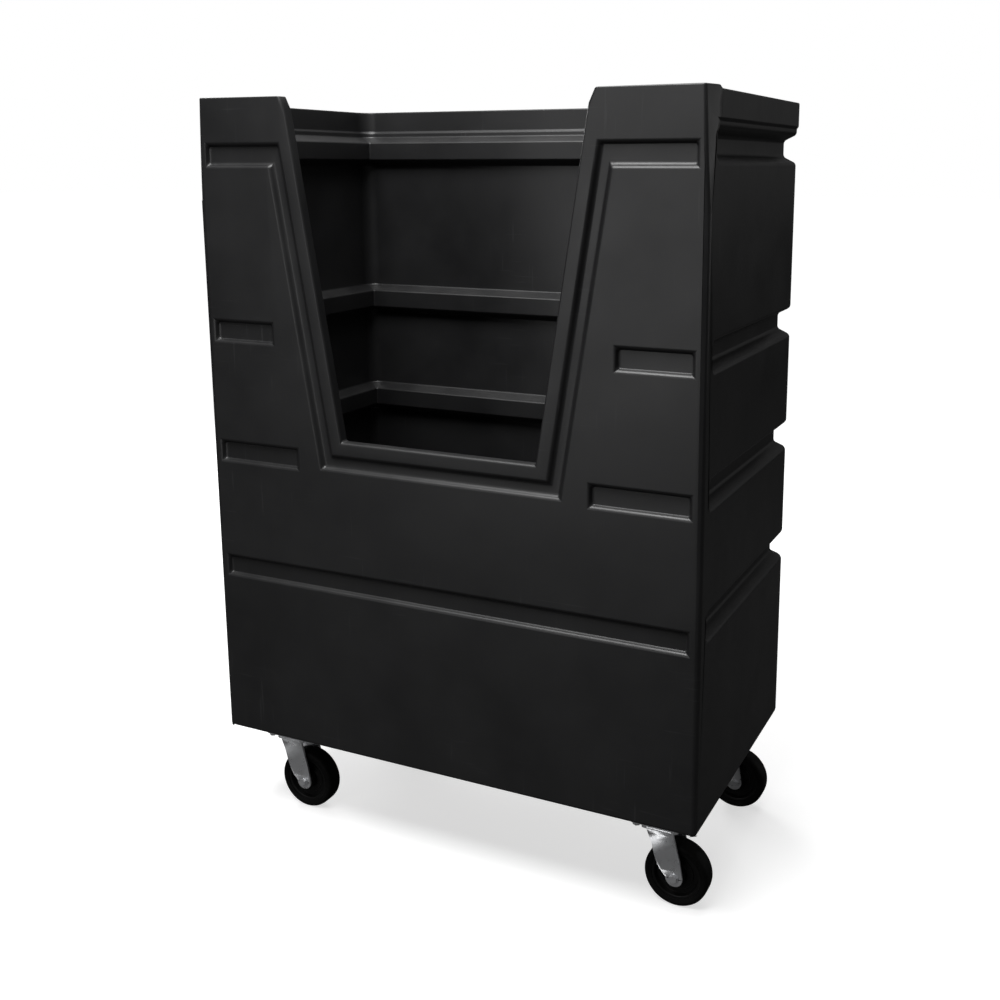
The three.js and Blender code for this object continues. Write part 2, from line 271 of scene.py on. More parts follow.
def model_tub():
    tub = block("tub_moulding", (-HALF, FRONT, TUB_BOTTOM), (HALF, BACK, POST_TOP))
    edit(tub, "EDGE")

    def upright_at(y):
        return lambda a, b: abs(a.z - b.z) > 0.1 and abs(a.y - y) < MM
    pick_edges(tub, upright_at(BACK))
    bpy.ops.mesh.bevel(offset=REAR_CORNER, segments=6, affect="EDGES")
    pick_edges(tub, upright_at(FRONT))
    bpy.ops.mesh.bevel(offset=POST_CORNER, segments=4, affect="EDGES")

    rise = POST_TOP - WEDGE_START
    for side in (-1, 1):
        bpy.ops.mesh.select_all(action="SELECT")
        wedge = Vector((side / WEDGE_FRONT_LEG, -1 / WEDGE_SIDE_LEG, 1 / rise)).normalized()
        bpy.ops.mesh.bisect(
            plane_co=(side * HALF, FRONT, WEDGE_START), plane_no=wedge,
            use_fill=True, clear_outer=True, threshold=1e-6,
        )
    pick_faces(tub, lambda middle, normal: normal.z > 0.9)
    bpy.ops.mesh.delete(type="FACE")

    # Grooves round the sides and the back, ending just behind the front posts.
    groove_end = FRONT + POST_DEPTH
    floor_end = groove_end + GROOVE_RUN

    def behind(y):
        return lambda middle, normal: abs(normal.z) < 0.5 and middle.y > y
    for y in (groove_end, floor_end):
        slice_faces(tub, (0, y, SILL), (0, 1, 0), lambda middle, normal: abs(normal.x) > 0.9)
    for middle_z in SIDE_GROOVES:
        for offset in (-GROOVE_HEIGHT / 2, GROOVE_RUN - GROOVE_HEIGHT / 2,
                       GROOVE_HEIGHT / 2 - GROOVE_RUN, GROOVE_HEIGHT / 2):
            slice_faces(tub, (0, 0, middle_z + offset), (0, 0, 1), behind(groove_end))
    for z in (RIM_BOTTOM - 5 * MM, RIM_BOTTOM):
        slice_faces(tub, (0, 0, z), (0, 0, 1), behind(groove_end))
    half_floor = GROOVE_HEIGHT / 2 - GROOVE_RUN
    pick_faces(tub, lambda middle, normal: behind(floor_end)(middle, normal) and any(
        abs(middle.z - z) < half_floor for z in SIDE_GROOVES))
    bpy.ops.transform.shrink_fatten(value=-GROOVE_DEPTH, use_even_offset=True)
    pick_faces(tub, lambda middle, normal: behind(floor_end)(middle, normal)
               and middle.z > RIM_BOTTOM)
    bpy.ops.transform.shrink_fatten(value=RIM_PROUD, use_even_offset=True)
    pick_points(tub, lambda point: point.z > POST_TOP - MM and point.y > floor_end - MM)
    bpy.ops.transform.translate(value=(0, 0, RIM_TOP - POST_TOP))

    cut_front(tub)
    mark_faces(tub, 1, lambda middle, normal: on_front(middle, normal)
               and (in_channel(middle) or in_pocket(middle)))
    mark_faces(tub, 2, lambda middle, normal: on_front(middle, normal) and in_opening(middle))
    bpy.ops.mesh.select_all(action="SELECT")
    bpy.ops.mesh.dissolve_limited(angle_limit=math.radians(0.5), delimit={"MATERIAL"})
    pick_marked(tub, 2)
    bpy.ops.mesh.delete(type="FACE")
    pick_marked(tub, 1)
    bpy.ops.mesh.inset(
        thickness=POCKET_FLANK, depth=-POCKET_DEPTH, use_even_offset=True, use_boundary=True)
    mark_faces(tub, 0, lambda middle, normal: True)

    # The wall turns in along the edge of the opening.
    def on_lip(a, b):
        middle = (a + b) / 2
        flat = abs(a.y - FRONT) < MM and abs(b.y - FRONT) < MM
        over = max(0, middle.z - (POST_TOP - MOUTH_CHAMFER)) * MOUTH_SLOPE
        half = opening_half(min(middle.z, POST_TOP - MOUTH_CHAMFER)) + over
        at_sill = abs(a.z - SILL) < MM and abs(b.z - SILL) < MM and abs(middle.x) < half
        at_side = middle.z > SILL and abs(abs(middle.x) - half) < 2 * MM
        return flat and (at_sill or at_side)
    pick_edges(tub, on_lip)
    bpy.ops.mesh.extrude_edges_move(TRANSFORM_OT_translate={"value": (0, LIP_RETURN, 0)})
    bpy.ops.mesh.select_all(action="SELECT")
    bpy.ops.mesh.normals_make_consistent(inside=False)
    done()
    add_modifier(tub, "TRIANGULATE", quad_method="BEAUTY", ngon_method="BEAUTY")
    outside_points = len(tub.data.vertices)
    add_modifier(
        tub, "SOLIDIFY", thickness=WALL, offset=-1, use_even_offset=True,
        use_quality_normals=True, use_rim=True,
    )
    round_tub(tub, outside_points)
    smooth(tub, 40)
    return tub


def settle_strays(tub, skin):
    """A rounded edge lies within 2.3 mm of the sharp skin. Corner points that ran past it go back,
    and none leaves the shell's box."""
    mesh = bmesh.new()
    mesh.from_mesh(tub.data)
    for vert in mesh.verts:
        place, normal, index, away = skin.find_nearest(vert.co)
        if away > 2.3 * MM:
            vert.co = place
        vert.co = [min(max(value, low), high)
                   for value, low, high in zip(vert.co, shell_low, shell_high)]
    mesh.to_mesh(tub.data)
    mesh.free()


def round_tub(tub, outside_points):
    """Every edge of the moulding is soft: broad outside, tighter inside and at the rims.

    The points of the outer skin come first in the mesh, and those of the inner skin after them.
    """
    full = 8 * MM
    mesh = bmesh.new()
    mesh.from_mesh(tub.data)
    skin = BVHTree.FromBMesh(mesh)
    weight = mesh.edges.layers.float.new("bevel_weight_edge")
    for edge in mesh.edges:
        if len(edge.link_faces) != 2 or edge.calc_face_angle() < math.radians(28):
            continue
        a, b = (vert.co for vert in edge.verts)
        middle = (a + b) / 2
        size = 6 * MM
        lip_back = middle.y > FRONT + LIP_RETURN - 9 * MM and middle.y < FRONT + POST_DEPTH - 2 * MM
        if min(a.z, b.z) > RIM_TOP - MM:
            size = 3.4 * MM
        elif lip_back and abs(middle.x) < 0.40 and middle.z > SILL - 10 * MM:
            size = 3.4 * MM
        elif middle.z > RIM_BOTTOM - 9 * MM and middle.y > FRONT + POST_DEPTH:
            size = 2 * MM
        elif min(vert.index for vert in edge.verts) >= outside_points:
            size = 3 * MM
        elif max(a.z, b.z) < TUB_BOTTOM + MM:
            size = full
        edge[weight] = size / full
    mesh.to_mesh(tub.data)
    mesh.free()
    add_modifier(
        tub, "BEVEL", width=full, segments=3, limit_method="WEIGHT", use_clamp_overlap=False,
        miter_outer="MITER_SHARP",
    )
    settle_strays(tub, skin)




# ---- Finishes: shared node groups ----
def group(name, inputs, outputs):
    """A node group with named sockets. inputs maps a name to its default number or colour."""
    tree = bpy.data.node_groups.new(name, "ShaderNodeTree")
    for socket, value in inputs.items():
        kind = "NodeSocketColor" if isinstance(value, tuple) else "NodeSocketFloat"
        made = tree.interface.new_socket(socket, in_out="INPUT", socket_type=kind)
        made.default_value = value
    for socket, kind in outputs.items():
        tree.interface.new_socket(socket, in_out="OUTPUT", socket_type=kind)
    return tree, tree.nodes.new("NodeGroupInput"), tree.nodes.new("NodeGroupOutput")


def node(tree, kind, links=None, **settings):
    """Adds a node, sets its values and joins its inputs. A string key is a socket's name."""
    made = tree.nodes.new(kind)
    for key, value in settings.items():
        setattr(made, key, value)
    for socket, value in (links or {}).items():
        if isinstance(value, bpy.types.NodeSocket):
            tree.links.new(value, made.inputs[socket])
        else:
            made.inputs[socket].default_value = value
    return made


def math_node(tree, operation, first, second=0.0, clamp=False):
    return node(
        tree, "ShaderNodeMath", {0: first, 1: second}, operation=operation, use_clamp=clamp,
    ).outputs[0]


def mix_colours(tree, factor, first, second, blend="MIX"):
    mixed = node(
        tree, "ShaderNodeMix", {0: factor, 6: first, 7: second}, data_type="RGBA", blend_type=blend,
    )
    return mixed.outputs[2]


def ramp(tree, value, low, high, low_out=0.0, high_out=1.0):
    """Value turned from low..high into low_out..high_out, and held at the ends."""
    return node(tree, "ShaderNodeMapRange", {
        "Value": value, "From Min": low, "From Max": high, "To Min": low_out, "To Max": high_out,
    }).outputs["Result"]


def stretched(tree, stretch):
    """Object coordinates scaled along each axis, in turns per metre."""
    place = node(tree, "ShaderNodeTexCoord").outputs["Object"]
    return node(tree, "ShaderNodeMapping", {"Vector": place, "Scale": stretch}).outputs["Vector"]


def noise(tree, vector, scale, detail=2.0, roughness=0.5):
    return node(tree, "ShaderNodeTexNoise", {
        "Vector": vector, "Scale": scale, "Detail": detail, "Roughness": roughness,
    }).outputs["Fac"]


def make_edge_group():
    """Lights up the convex and concave edges, broken up by a noise."""
    tree, given, out = group("worn_edges", {"Radius": 0.004, "Strength": 1.0},
                             {"Mask": "NodeSocketFloat"})
    rounded = node(tree, "ShaderNodeBevel", {"Radius": given.outputs["Radius"]}, samples=4)
    straight = node(tree, "ShaderNodeNewGeometry").outputs["Normal"]
    facing = node(tree, "ShaderNodeVectorMath", {0: rounded.outputs["Normal"], 1: straight},
                  operation="DOT_PRODUCT").outputs["Value"]
    edge = ramp(tree, facing, 0.995, 0.88)
    broken = ramp(tree, noise(tree, stretched(tree, (1, 1, 1)), 55, 5, 0.65), 0.35, 0.62)
    mask = math_node(tree, "MULTIPLY", math_node(tree, "MULTIPLY", edge, broken),
                     given.outputs["Strength"], clamp=True)
    tree.links.new(mask, out.inputs["Mask"])
    return tree


def make_scuff_group():
    """Fine scratches along one way and rubbed patches."""
    tree, given, out = group("scuffs", {"Amount": 0.5, "Scale": 1.0},
                             {"Scratches": "NodeSocketFloat", "Rubbed": "NodeSocketFloat"})
    place = node(tree, "ShaderNodeTexCoord").outputs["Object"]
    scaled = node(tree, "ShaderNodeVectorMath", {0: place, 3: given.outputs["Scale"]},
                  operation="SCALE").outputs["Vector"]
    marks = []
    for turn, squeeze in ((0.5, (9, 9, 240)), (-0.35, (180, 180, 7))):
        along = node(tree, "ShaderNodeMapping",
                     {"Vector": scaled, "Rotation": (turn, turn, 0), "Scale": squeeze})
        marks.append(ramp(tree, noise(tree, along.outputs["Vector"], 1.0, 1, 0.4), 0.70, 0.76))
    where = ramp(tree, noise(tree, scaled, 3.1, 2), 0.48, 0.62)
    scratch = math_node(tree, "MULTIPLY", math_node(tree, "MAXIMUM", *marks), where)
    scratch = math_node(tree, "MULTIPLY", scratch, given.outputs["Amount"], clamp=True)
    rubbed = ramp(tree, noise(tree, scaled, 4.3, 6, 0.62), 0.50, 0.70)
    rubbed = math_node(tree, "MULTIPLY", rubbed, given.outputs["Amount"], clamp=True)
    tree.links.new(scratch, out.inputs["Scratches"])
    tree.links.new(rubbed, out.inputs["Rubbed"])
    return tree


def make_peel_group():
    """The skin of a moulding: fine peel over a slow waviness of the wall."""
    tree, given, out = group("moulded_skin", {"Peel Scale": 300.0, "Wave Scale": 9.0, "Wave": 0.5},
                             {"Height": "NodeSocketFloat"})
    place = node(tree, "ShaderNodeTexCoord").outputs["Object"]
    peel = noise(tree, place, given.outputs["Peel Scale"], 3, 0.6)
    wave = noise(tree, place, given.outputs["Wave Scale"], 1, 0.3)
    wave = math_node(tree, "MULTIPLY", wave, given.outputs["Wave"])
    tree.links.new(math_node(tree, "ADD", math_node(tree, "MULTIPLY", peel, 0.05), wave),
                   out.inputs["Height"])
    return tree


def make_dust_group():
    """Pale dust lying on what faces up, and a little in patches elsewhere."""
    tree, given, out = group("settled_dust", {"Amount": 0.5}, {"Mask": "NodeSocketFloat"})
    normal = node(tree, "ShaderNodeNewGeometry").outputs["Normal"]
    up = node(tree, "ShaderNodeSeparateXYZ", {0: normal}).outputs["Z"]
    lying = ramp(tree, up, 0.2, 1.0, 0.10, 1.0)
    patchy = ramp(tree, noise(tree, stretched(tree, (1, 1, 1)), 14, 6, 0.6), 0.35, 0.75)
    mask = math_node(tree, "MULTIPLY", math_node(tree, "MULTIPLY", lying, patchy),
                     given.outputs["Amount"], clamp=True)
    tree.links.new(mask, out.inputs["Mask"])
    return tree


edge_group = make_edge_group()
scuff_group = make_scuff_group()
peel_group = make_peel_group()
dust_group = make_dust_group()


def use(tree, made_group, **values):
    """Places a shared group in a material with this material's values."""
    placed = tree.nodes.new("ShaderNodeGroup")
    placed.node_tree = made_group
    for name, value in values.items():
        placed.inputs[name.replace("_", " ")].default_value = value
    return placed.outputs


def new_finish(name, roughness, metallic=0.0, specular=0.5):
    """A material and its shader, with what is the same all over set on the shader itself."""
    finish = bpy.data.materials.new(name)
    finish.use_nodes = True
    shader = finish.node_tree.nodes["Principled BSDF"]
    shader.inputs["Roughness"].default_value = roughness
    shader.inputs["Metallic"].default_value = metallic
    shader.inputs["Specular IOR Level"].default_value = specular
    return finish, finish.node_tree, shader


def bump(tree, shader, height, distance, strength=1.0):
    raised = node(tree, "ShaderNodeBump",
                  {"Height": height, "Distance": distance, "Strength": strength})
    tree.links.new(raised.outputs["Normal"], shader.inputs["Normal"])


def polyethylene():
    """Black moulded polyethylene: satin, slightly uneven, a little paler where it is rubbed."""
    finish, tree, shader = new_finish("black_polyethylene", 0.42)
    scuffs = use(tree, scuff_group, Amount=0.5, Scale=1.0)
    edges = use(tree, edge_group, Radius=0.004, Strength=0.5)
    dust = use(tree, dust_group, Amount=0.10)
    mottle = ramp(tree, noise(tree, stretched(tree, (1, 1, 1)), 7, 4), 0.3, 0.7)
    colour = mix_colours(tree, mottle, (0.0075, 0.0075, 0.008, 1), (0.0105, 0.0105, 0.011, 1))
    colour = mix_colours(tree, scuffs["Scratches"], colour, (0.03, 0.03, 0.031, 1))
    colour = mix_colours(tree, edges["Mask"], colour, (0.026, 0.026, 0.027, 1))
    colour = mix_colours(tree, dust["Mask"], colour, (0.10, 0.10, 0.095, 1))
    tree.links.new(colour, shader.inputs["Base Color"])
    rough = ramp(tree, noise(tree, stretched(tree, (1, 1, 1)), 5, 5), 0.3, 0.7, 0.36, 0.46)
    rough = math_node(tree, "ADD", rough, math_node(tree, "MULTIPLY", scuffs["Rubbed"], 0.10))
    rough = math_node(tree, "ADD", rough, math_node(tree, "MULTIPLY", dust["Mask"], 0.5))
    tree.links.new(rough, shader.inputs["Roughness"])
    skin = use(tree, peel_group, Peel_Scale=320.0, Wave_Scale=6.0, Wave=1.0)
    bump(tree, shader, skin["Height"], 0.003, 0.35)
    return finish


def rubber():
    finish, tree, shader = new_finish("black_tread_rubber", 0.8, specular=0.15)
    scuffs = use(tree, scuff_group, Amount=0.7, Scale=5.0)
    dust = use(tree, dust_group, Amount=0.25)
    edges = use(tree, edge_group, Radius=0.0015, Strength=0.6)
    colour = mix_colours(tree, scuffs["Rubbed"], (0.003, 0.003, 0.0031, 1), (0.006, 0.006, 0.006, 1))
    colour = mix_colours(tree, edges["Mask"], colour, (0.022, 0.022, 0.022, 1))
    colour = mix_colours(tree, dust["Mask"], colour, (0.06, 0.058, 0.054, 1))
    tree.links.new(colour, shader.inputs["Base Color"])
    rough = ramp(tree, noise(tree, stretched(tree, (1, 1, 1)), 60, 5), 0.3, 0.7, 0.58, 0.8)
    tree.links.new(rough, shader.inputs["Roughness"])
    skin = use(tree, peel_group, Peel_Scale=900.0, Wave_Scale=60.0, Wave=0.1)
    bump(tree, shader, skin["Height"], 0.001, 0.5)
    return finish


def wheel_plastic():
    finish, tree, shader = new_finish("black_wheel_plastic", 0.5, specular=0.25)
    scuffs = use(tree, scuff_group, Amount=0.6, Scale=4.0)
    dust = use(tree, dust_group, Amount=0.15)
    edges = use(tree, edge_group, Radius=0.0015, Strength=0.5)
    colour = mix_colours(tree, scuffs["Rubbed"], (0.004, 0.004, 0.0042, 1), (0.008, 0.008, 0.008, 1))
    colour = mix_colours(tree, edges["Mask"], colour, (0.03, 0.03, 0.03, 1))
    colour = mix_colours(tree, dust["Mask"], colour, (0.07, 0.068, 0.064, 1))
    tree.links.new(colour, shader.inputs["Base Color"])
    rough = ramp(tree, noise(tree, stretched(tree, (1, 1, 1)), 40, 5), 0.3, 0.7, 0.34, 0.52)
    tree.links.new(rough, shader.inputs["Roughness"])
    skin = use(tree, peel_group, Peel_Scale=700.0, Wave_Scale=40.0, Wave=0.1)
    bump(tree, shader, skin["Height"], 0.001, 0.4)
    return finish


def zinc():
    """Bright zinc plate: a fine crystal mottle, faint press lines and duller edges."""
    finish, tree, shader = new_finish("bright_zinc_plate", 0.3, metallic=0.75)
    place = stretched(tree, (1, 1, 1))
    crystal = node(tree, "ShaderNodeTexVoronoi", {"Vector": place, "Scale": 260.0})
    tone = ramp(tree, node(tree, "ShaderNodeSeparateColor",
                           {0: crystal.outputs["Color"]}).outputs["Red"], 0, 1, 0.35, 0.65)
    tone = math_node(tree, "MULTIPLY", tone, noise(tree, place, 30, 4), clamp=True)
    colour = mix_colours(tree, tone, (0.92, 0.93, 0.95, 1), (0.80, 0.81, 0.84, 1))
    scuffs = use(tree, scuff_group, Amount=0.5, Scale=6.0)
    edges = use(tree, edge_group, Radius=0.0012, Strength=0.5)
    colour = mix_colours(tree, scuffs["Scratches"], colour, (0.45, 0.45, 0.46, 1))
    colour = mix_colours(tree, edges["Mask"], colour, (0.86, 0.86, 0.87, 1))
    tree.links.new(colour, shader.inputs["Base Color"])
    rough = ramp(tree, noise(tree, place, 90, 6, 0.65), 0.3, 0.7, 0.24, 0.40)
    rough = math_node(tree, "ADD", rough, math_node(tree, "MULTIPLY", scuffs["Rubbed"], 0.12))
    tree.links.new(rough, shader.inputs["Roughness"])
    fine = noise(tree, stretched(tree, (1, 1, 0.12)), 900, 2)
    bump(tree, shader, fine, 0.0002, 0.35)
    return finish


def bearing_steel():
    """Plain steel under a thin film of grease."""
    finish, tree, shader = new_finish("greased_steel", 0.25, metallic=1.0)
    grease = ramp(tree, noise(tree, stretched(tree, (1, 1, 1)), 120, 4), 0.4, 0.65)
    colour = mix_colours(tree, grease, (0.42, 0.42, 0.43, 1), (0.11, 0.09, 0.06, 1))
    tree.links.new(colour, shader.inputs["Base Color"])
    tree.links.new(ramp(tree, grease, 0, 1, 0.22, 0.5), shader.inputs["Roughness"])
    bump(tree, shader, grease, 0.0003, 0.4)
    return finish


def plywood():
    """Birch plywood: long face grain, and plies that show on the cut edges."""
    finish, tree, shader = new_finish("birch_plywood", 0.6, specular=0.3)
    place = node(tree, "ShaderNodeTexCoord").outputs["Object"]
    across = node(tree, "ShaderNodeSeparateXYZ", {0: place})
    grain = noise(tree, stretched(tree, (3, 60, 60)), 3.0, 6, 0.6)
    face = mix_colours(tree, ramp(tree, grain, 0.3, 0.7), (0.42, 0.29, 0.16, 1), (0.30, 0.19, 0.10, 1))
    ply = math_node(tree, "PINGPONG", across.outputs["Z"], PLY)
    ply = ramp(tree, ply, PLY * 0.42, PLY * 0.58)
    dots = ramp(tree, noise(tree, stretched(tree, (1, 1, 1)), 700, 2), 0.4, 0.7)
    layer = mix_colours(tree, ply, (0.36, 0.24, 0.13, 1), (0.20, 0.12, 0.06, 1))
    layer = mix_colours(tree, math_node(tree, "MULTIPLY", dots, 0.4), layer, (0.11, 0.07, 0.035, 1))
    normal = node(tree, "ShaderNodeNewGeometry").outputs["Normal"]
    up = node(tree, "ShaderNodeSeparateXYZ", {0: normal}).outputs["Z"]
    flat = ramp(tree, math_node(tree, "ABSOLUTE", up), 0.5, 0.8)
    tree.links.new(mix_colours(tree, flat, layer, face), shader.inputs["Base Color"])
    tree.links.new(ramp(tree, grain, 0.3, 0.7, 0.5, 0.72), shader.inputs["Roughness"])
    height = math_node(tree, "ADD", grain, math_node(tree, "MULTIPLY", ply, 0.6))
    bump(tree, shader, height, 0.0006, 0.5)
    return finish


def hardwood():
    """Rough-sawn hardwood with its grain along the beam and rings on its ends."""
    finish, tree, shader = new_finish("sawn_hardwood", 0.7, specular=0.3)
    rings = node(tree, "ShaderNodeTexWave", {
        "Vector": stretched(tree, (1, 0.05, 1)), "Scale": 28.0, "Distortion": 6.0,
        "Detail": 3.0, "Detail Scale": 2.0,
    }, wave_type="RINGS", rings_direction="Y").outputs["Fac"]
    fibre = noise(tree, stretched(tree, (90, 4, 90)), 4.0, 5, 0.6)
    colour = mix_colours(tree, rings, (0.26, 0.16, 0.085, 1), (0.17, 0.10, 0.05, 1))
    colour = mix_colours(tree, math_node(tree, "MULTIPLY", fibre, 0.5), colour, (0.09, 0.055, 0.03, 1))
    tree.links.new(colour, shader.inputs["Base Color"])
    tree.links.new(ramp(tree, fibre, 0.3, 0.7, 0.6, 0.8), shader.inputs["Roughness"])
    saw = noise(tree, stretched(tree, (8, 420, 8)), 1.0, 2)
    bump(tree, shader, math_node(tree, "ADD", fibre, saw), 0.0006, 0.5)
    return finish


PLY = 2.25 * MM

# ---- Underframe and casters ----
deck_low, deck_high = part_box("deck_board")
plate_low, plate_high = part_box("front_right_top_plate")
fork_low, fork_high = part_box("front_right_fork")
core_low, core_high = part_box("front_right_wheel_core")
tread_low, tread_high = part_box("front_right_wheel_tread")
bolt_low, bolt_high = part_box("front_right_plate_bolt_1")

CASTER_X = (plate_low.x + plate_high.x) / 2
CASTER_Y = -(plate_low.y + plate_high.y) / 2
TRAIL = (core_low.x + core_high.x) / 2 - CASTER_X
AXLE_Z = (core_low.z + core_high.z) / 2
WHEEL_RADIUS = AXLE_Z
CROWN_TOP = fork_high.z
CROWN_THICKNESS = 6 * MM
FORK_STEEL = 5 * MM
FORK_HALF = (fork_high.y - fork_low.y) / 2
HUB_HALF = (core_high.y - core_low.y) / 2
PLATE_TOP = plate_high.z
PLATE_BOTTOM = plate_low.z
BOLT_SPACING = (90 * MM, 76 * MM)
BOLT_RADIUS = 5 * MM
BOLT_TIP = bolt_low.z
FLOOR_TOP = TUB_BOTTOM + WALL

caster_places = {
    name: Vector((CASTER_X * (1 if "right" in name else -1),
                  CASTER_Y * (1 if "rear" in name else -1), 0))
    for name in CORNERS
}


def bolt_places():
    dx, dy = BOLT_SPACING[0] / 2, BOLT_SPACING[1] / 2
    return [Vector((x, y, 0)) for y in (-dy, dy) for x in (-dx, dx)]


def turned(name, outline, axis="Z", place=(0, 0, 0), sides=48, closed=False):
    """Turns an outline of (radius, height) steps by growing one loop out of the last.

    A closed outline comes back to its start and leaves a bore; any other gets both ends filled.
    """
    deselect_all()
    about_y = axis == "Y"
    turn = (math.radians(90), 0, 0) if about_y else (0, 0, 0)
    # A circle turned about X by a quarter keeps its radius plane across Y.
    radius, height = outline[0]
    along = Vector((0, 1, 0)) if about_y else Vector((0, 0, 1))
    middle = Vector(place) + along * height
    bpy.ops.mesh.primitive_circle_add(
        vertices=sides, radius=radius, fill_type="NOTHING" if closed else "NGON",
        location=middle, rotation=turn,
    )
    piece = start_piece(name)
    edit(piece, "EDGE")
    bpy.ops.mesh.select_all(action="SELECT")
    steps = list(outline[1:]) + ([outline[0]] if closed else [])
    for new_radius, new_height in steps:
        bpy.ops.mesh.extrude_edges_move(
            TRANSFORM_OT_translate={"value": along * (new_height - height)})
        ratio = new_radius / radius
        grow = (ratio, 1, ratio) if about_y else (ratio, ratio, 1)
        centre = Vector(place) + along * new_height
        bpy.ops.transform.resize(value=grow, center_override=centre)
        radius, height = new_radius, new_height
    if not closed:
        bpy.ops.mesh.edge_face_add()
    bpy.ops.mesh.select_all(action="SELECT")
    bpy.ops.mesh.remove_doubles(threshold=1e-6)
    bpy.ops.mesh.select_all(action="SELECT")
    bpy.ops.mesh.normals_make_consistent(inside=False)
    done()
    return piece


def rod_outline(radius, low, high, chamfer):
    return [(radius - chamfer, low), (radius, low + chamfer),
            (radius, high - chamfer), (radius - chamfer, high)]


def ring_outline(inner, outer, low, high, chamfer):
    return [
        (inner, low + chamfer), (inner + chamfer, low), (outer - chamfer, low),
        (outer, low + chamfer), (outer, high - chamfer), (outer - chamfer, high),
        (inner + chamfer, high), (inner, high - chamfer),
    ]


def hexagon(name, radius, low, high, axis="Z", place=(0, 0, 0), bore=None):
    """A hexagonal head or nut whose corners are taken off by a cone at both ends."""
    crown = 0.9 * radius
    skew = 0.12 * radius
    if bore:
        outline = [(bore, low), (crown, low), (radius, low + skew), (radius, high - skew),
                   (crown, high), (bore, high)]
    else:
        outline = [(crown, low), (radius, low + skew), (radius, high - skew), (crown, high)]
    return turned(name, outline, axis, place, sides=6, closed=bool(bore))


def join(name, pieces):
    deselect_all()
    for piece in pieces:
        piece.select_set(True)
    bpy.context.view_layer.objects.active = pieces[0]
    bpy.ops.object.join()
    joined = bpy.context.active_object
    joined.name = name
    joined.data.name = name
    return joined


def drill(piece, cutter, solver="EXACT"):
    add_modifier(piece, "BOOLEAN", operation="DIFFERENCE", object=cutter, solver=solver)


def drop(piece):
    bpy.data.objects.remove(piece)


def copy_to(piece, name, offset):
    """A copy with a mesh of its own, whose place is in that mesh."""
    copied = piece.copy()
    copied.data = piece.data.copy()
    copied.name = name
    copied.data.name = name
    bpy.context.scene.collection.objects.link(copied)
    copied.data.transform(Matrix.Translation(offset))
    return copied


def finish_piece(piece, finish, slot, body, *nodes):
    piece.data.materials.clear()
    piece.data.materials.append(finish)
    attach(piece, body)
    if nodes:
        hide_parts(*nodes)


def bolt_drills(radius):
    """One cutter with a drill at every carriage bolt."""
    drills = []
    for place in caster_places.values():
        for spot in bolt_places():
            at = place + spot
            drills.append(turned("drill", [(radius, BOLT_TIP), (radius, FLOOR_TOP + 0.02)],
                                 place=at, sides=24))
    return join("bolt_drills", drills)


def model_deck():
    deck = block("deck_panel", deck_low, deck_high)
    edit(deck, "EDGE")
    pick_edges(deck, lambda a, b: abs(a.z - b.z) > 0.01)
    bpy.ops.mesh.bevel(offset=15 * MM, segments=5, affect="EDGES")
    done()
    return deck


def model_bolster(side):
    low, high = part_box(f"{side}_bolster")
    beam = block(f"{side}_bolster_beam", low, high)
    round_edges(beam, 2.5 * MM, 2)
    return beam


def model_top_plate():
    half = Vector(((plate_high.x - plate_low.x) / 2, (plate_high.y - plate_low.y) / 2, 0))
    plate = block("top_plate", -half + Vector((0, 0, PLATE_BOTTOM)), half + Vector((0, 0, PLATE_TOP)))
    edit(plate, "EDGE")
    pick_edges(plate, lambda a, b: abs(a.z - b.z) > 0.004)
    bpy.ops.mesh.bevel(offset=8 * MM, segments=5, affect="EDGES")
    done()
    holes = join("holes", [
        turned("hole", [(5.8 * MM, PLATE_BOTTOM - 0.01), (5.8 * MM, PLATE_TOP + 0.01)],
               place=spot, sides=24) for spot in bolt_places()])
    drill(plate, holes)
    drop(holes)
    round_edges(plate, 0.8 * MM, 2)
    return plate


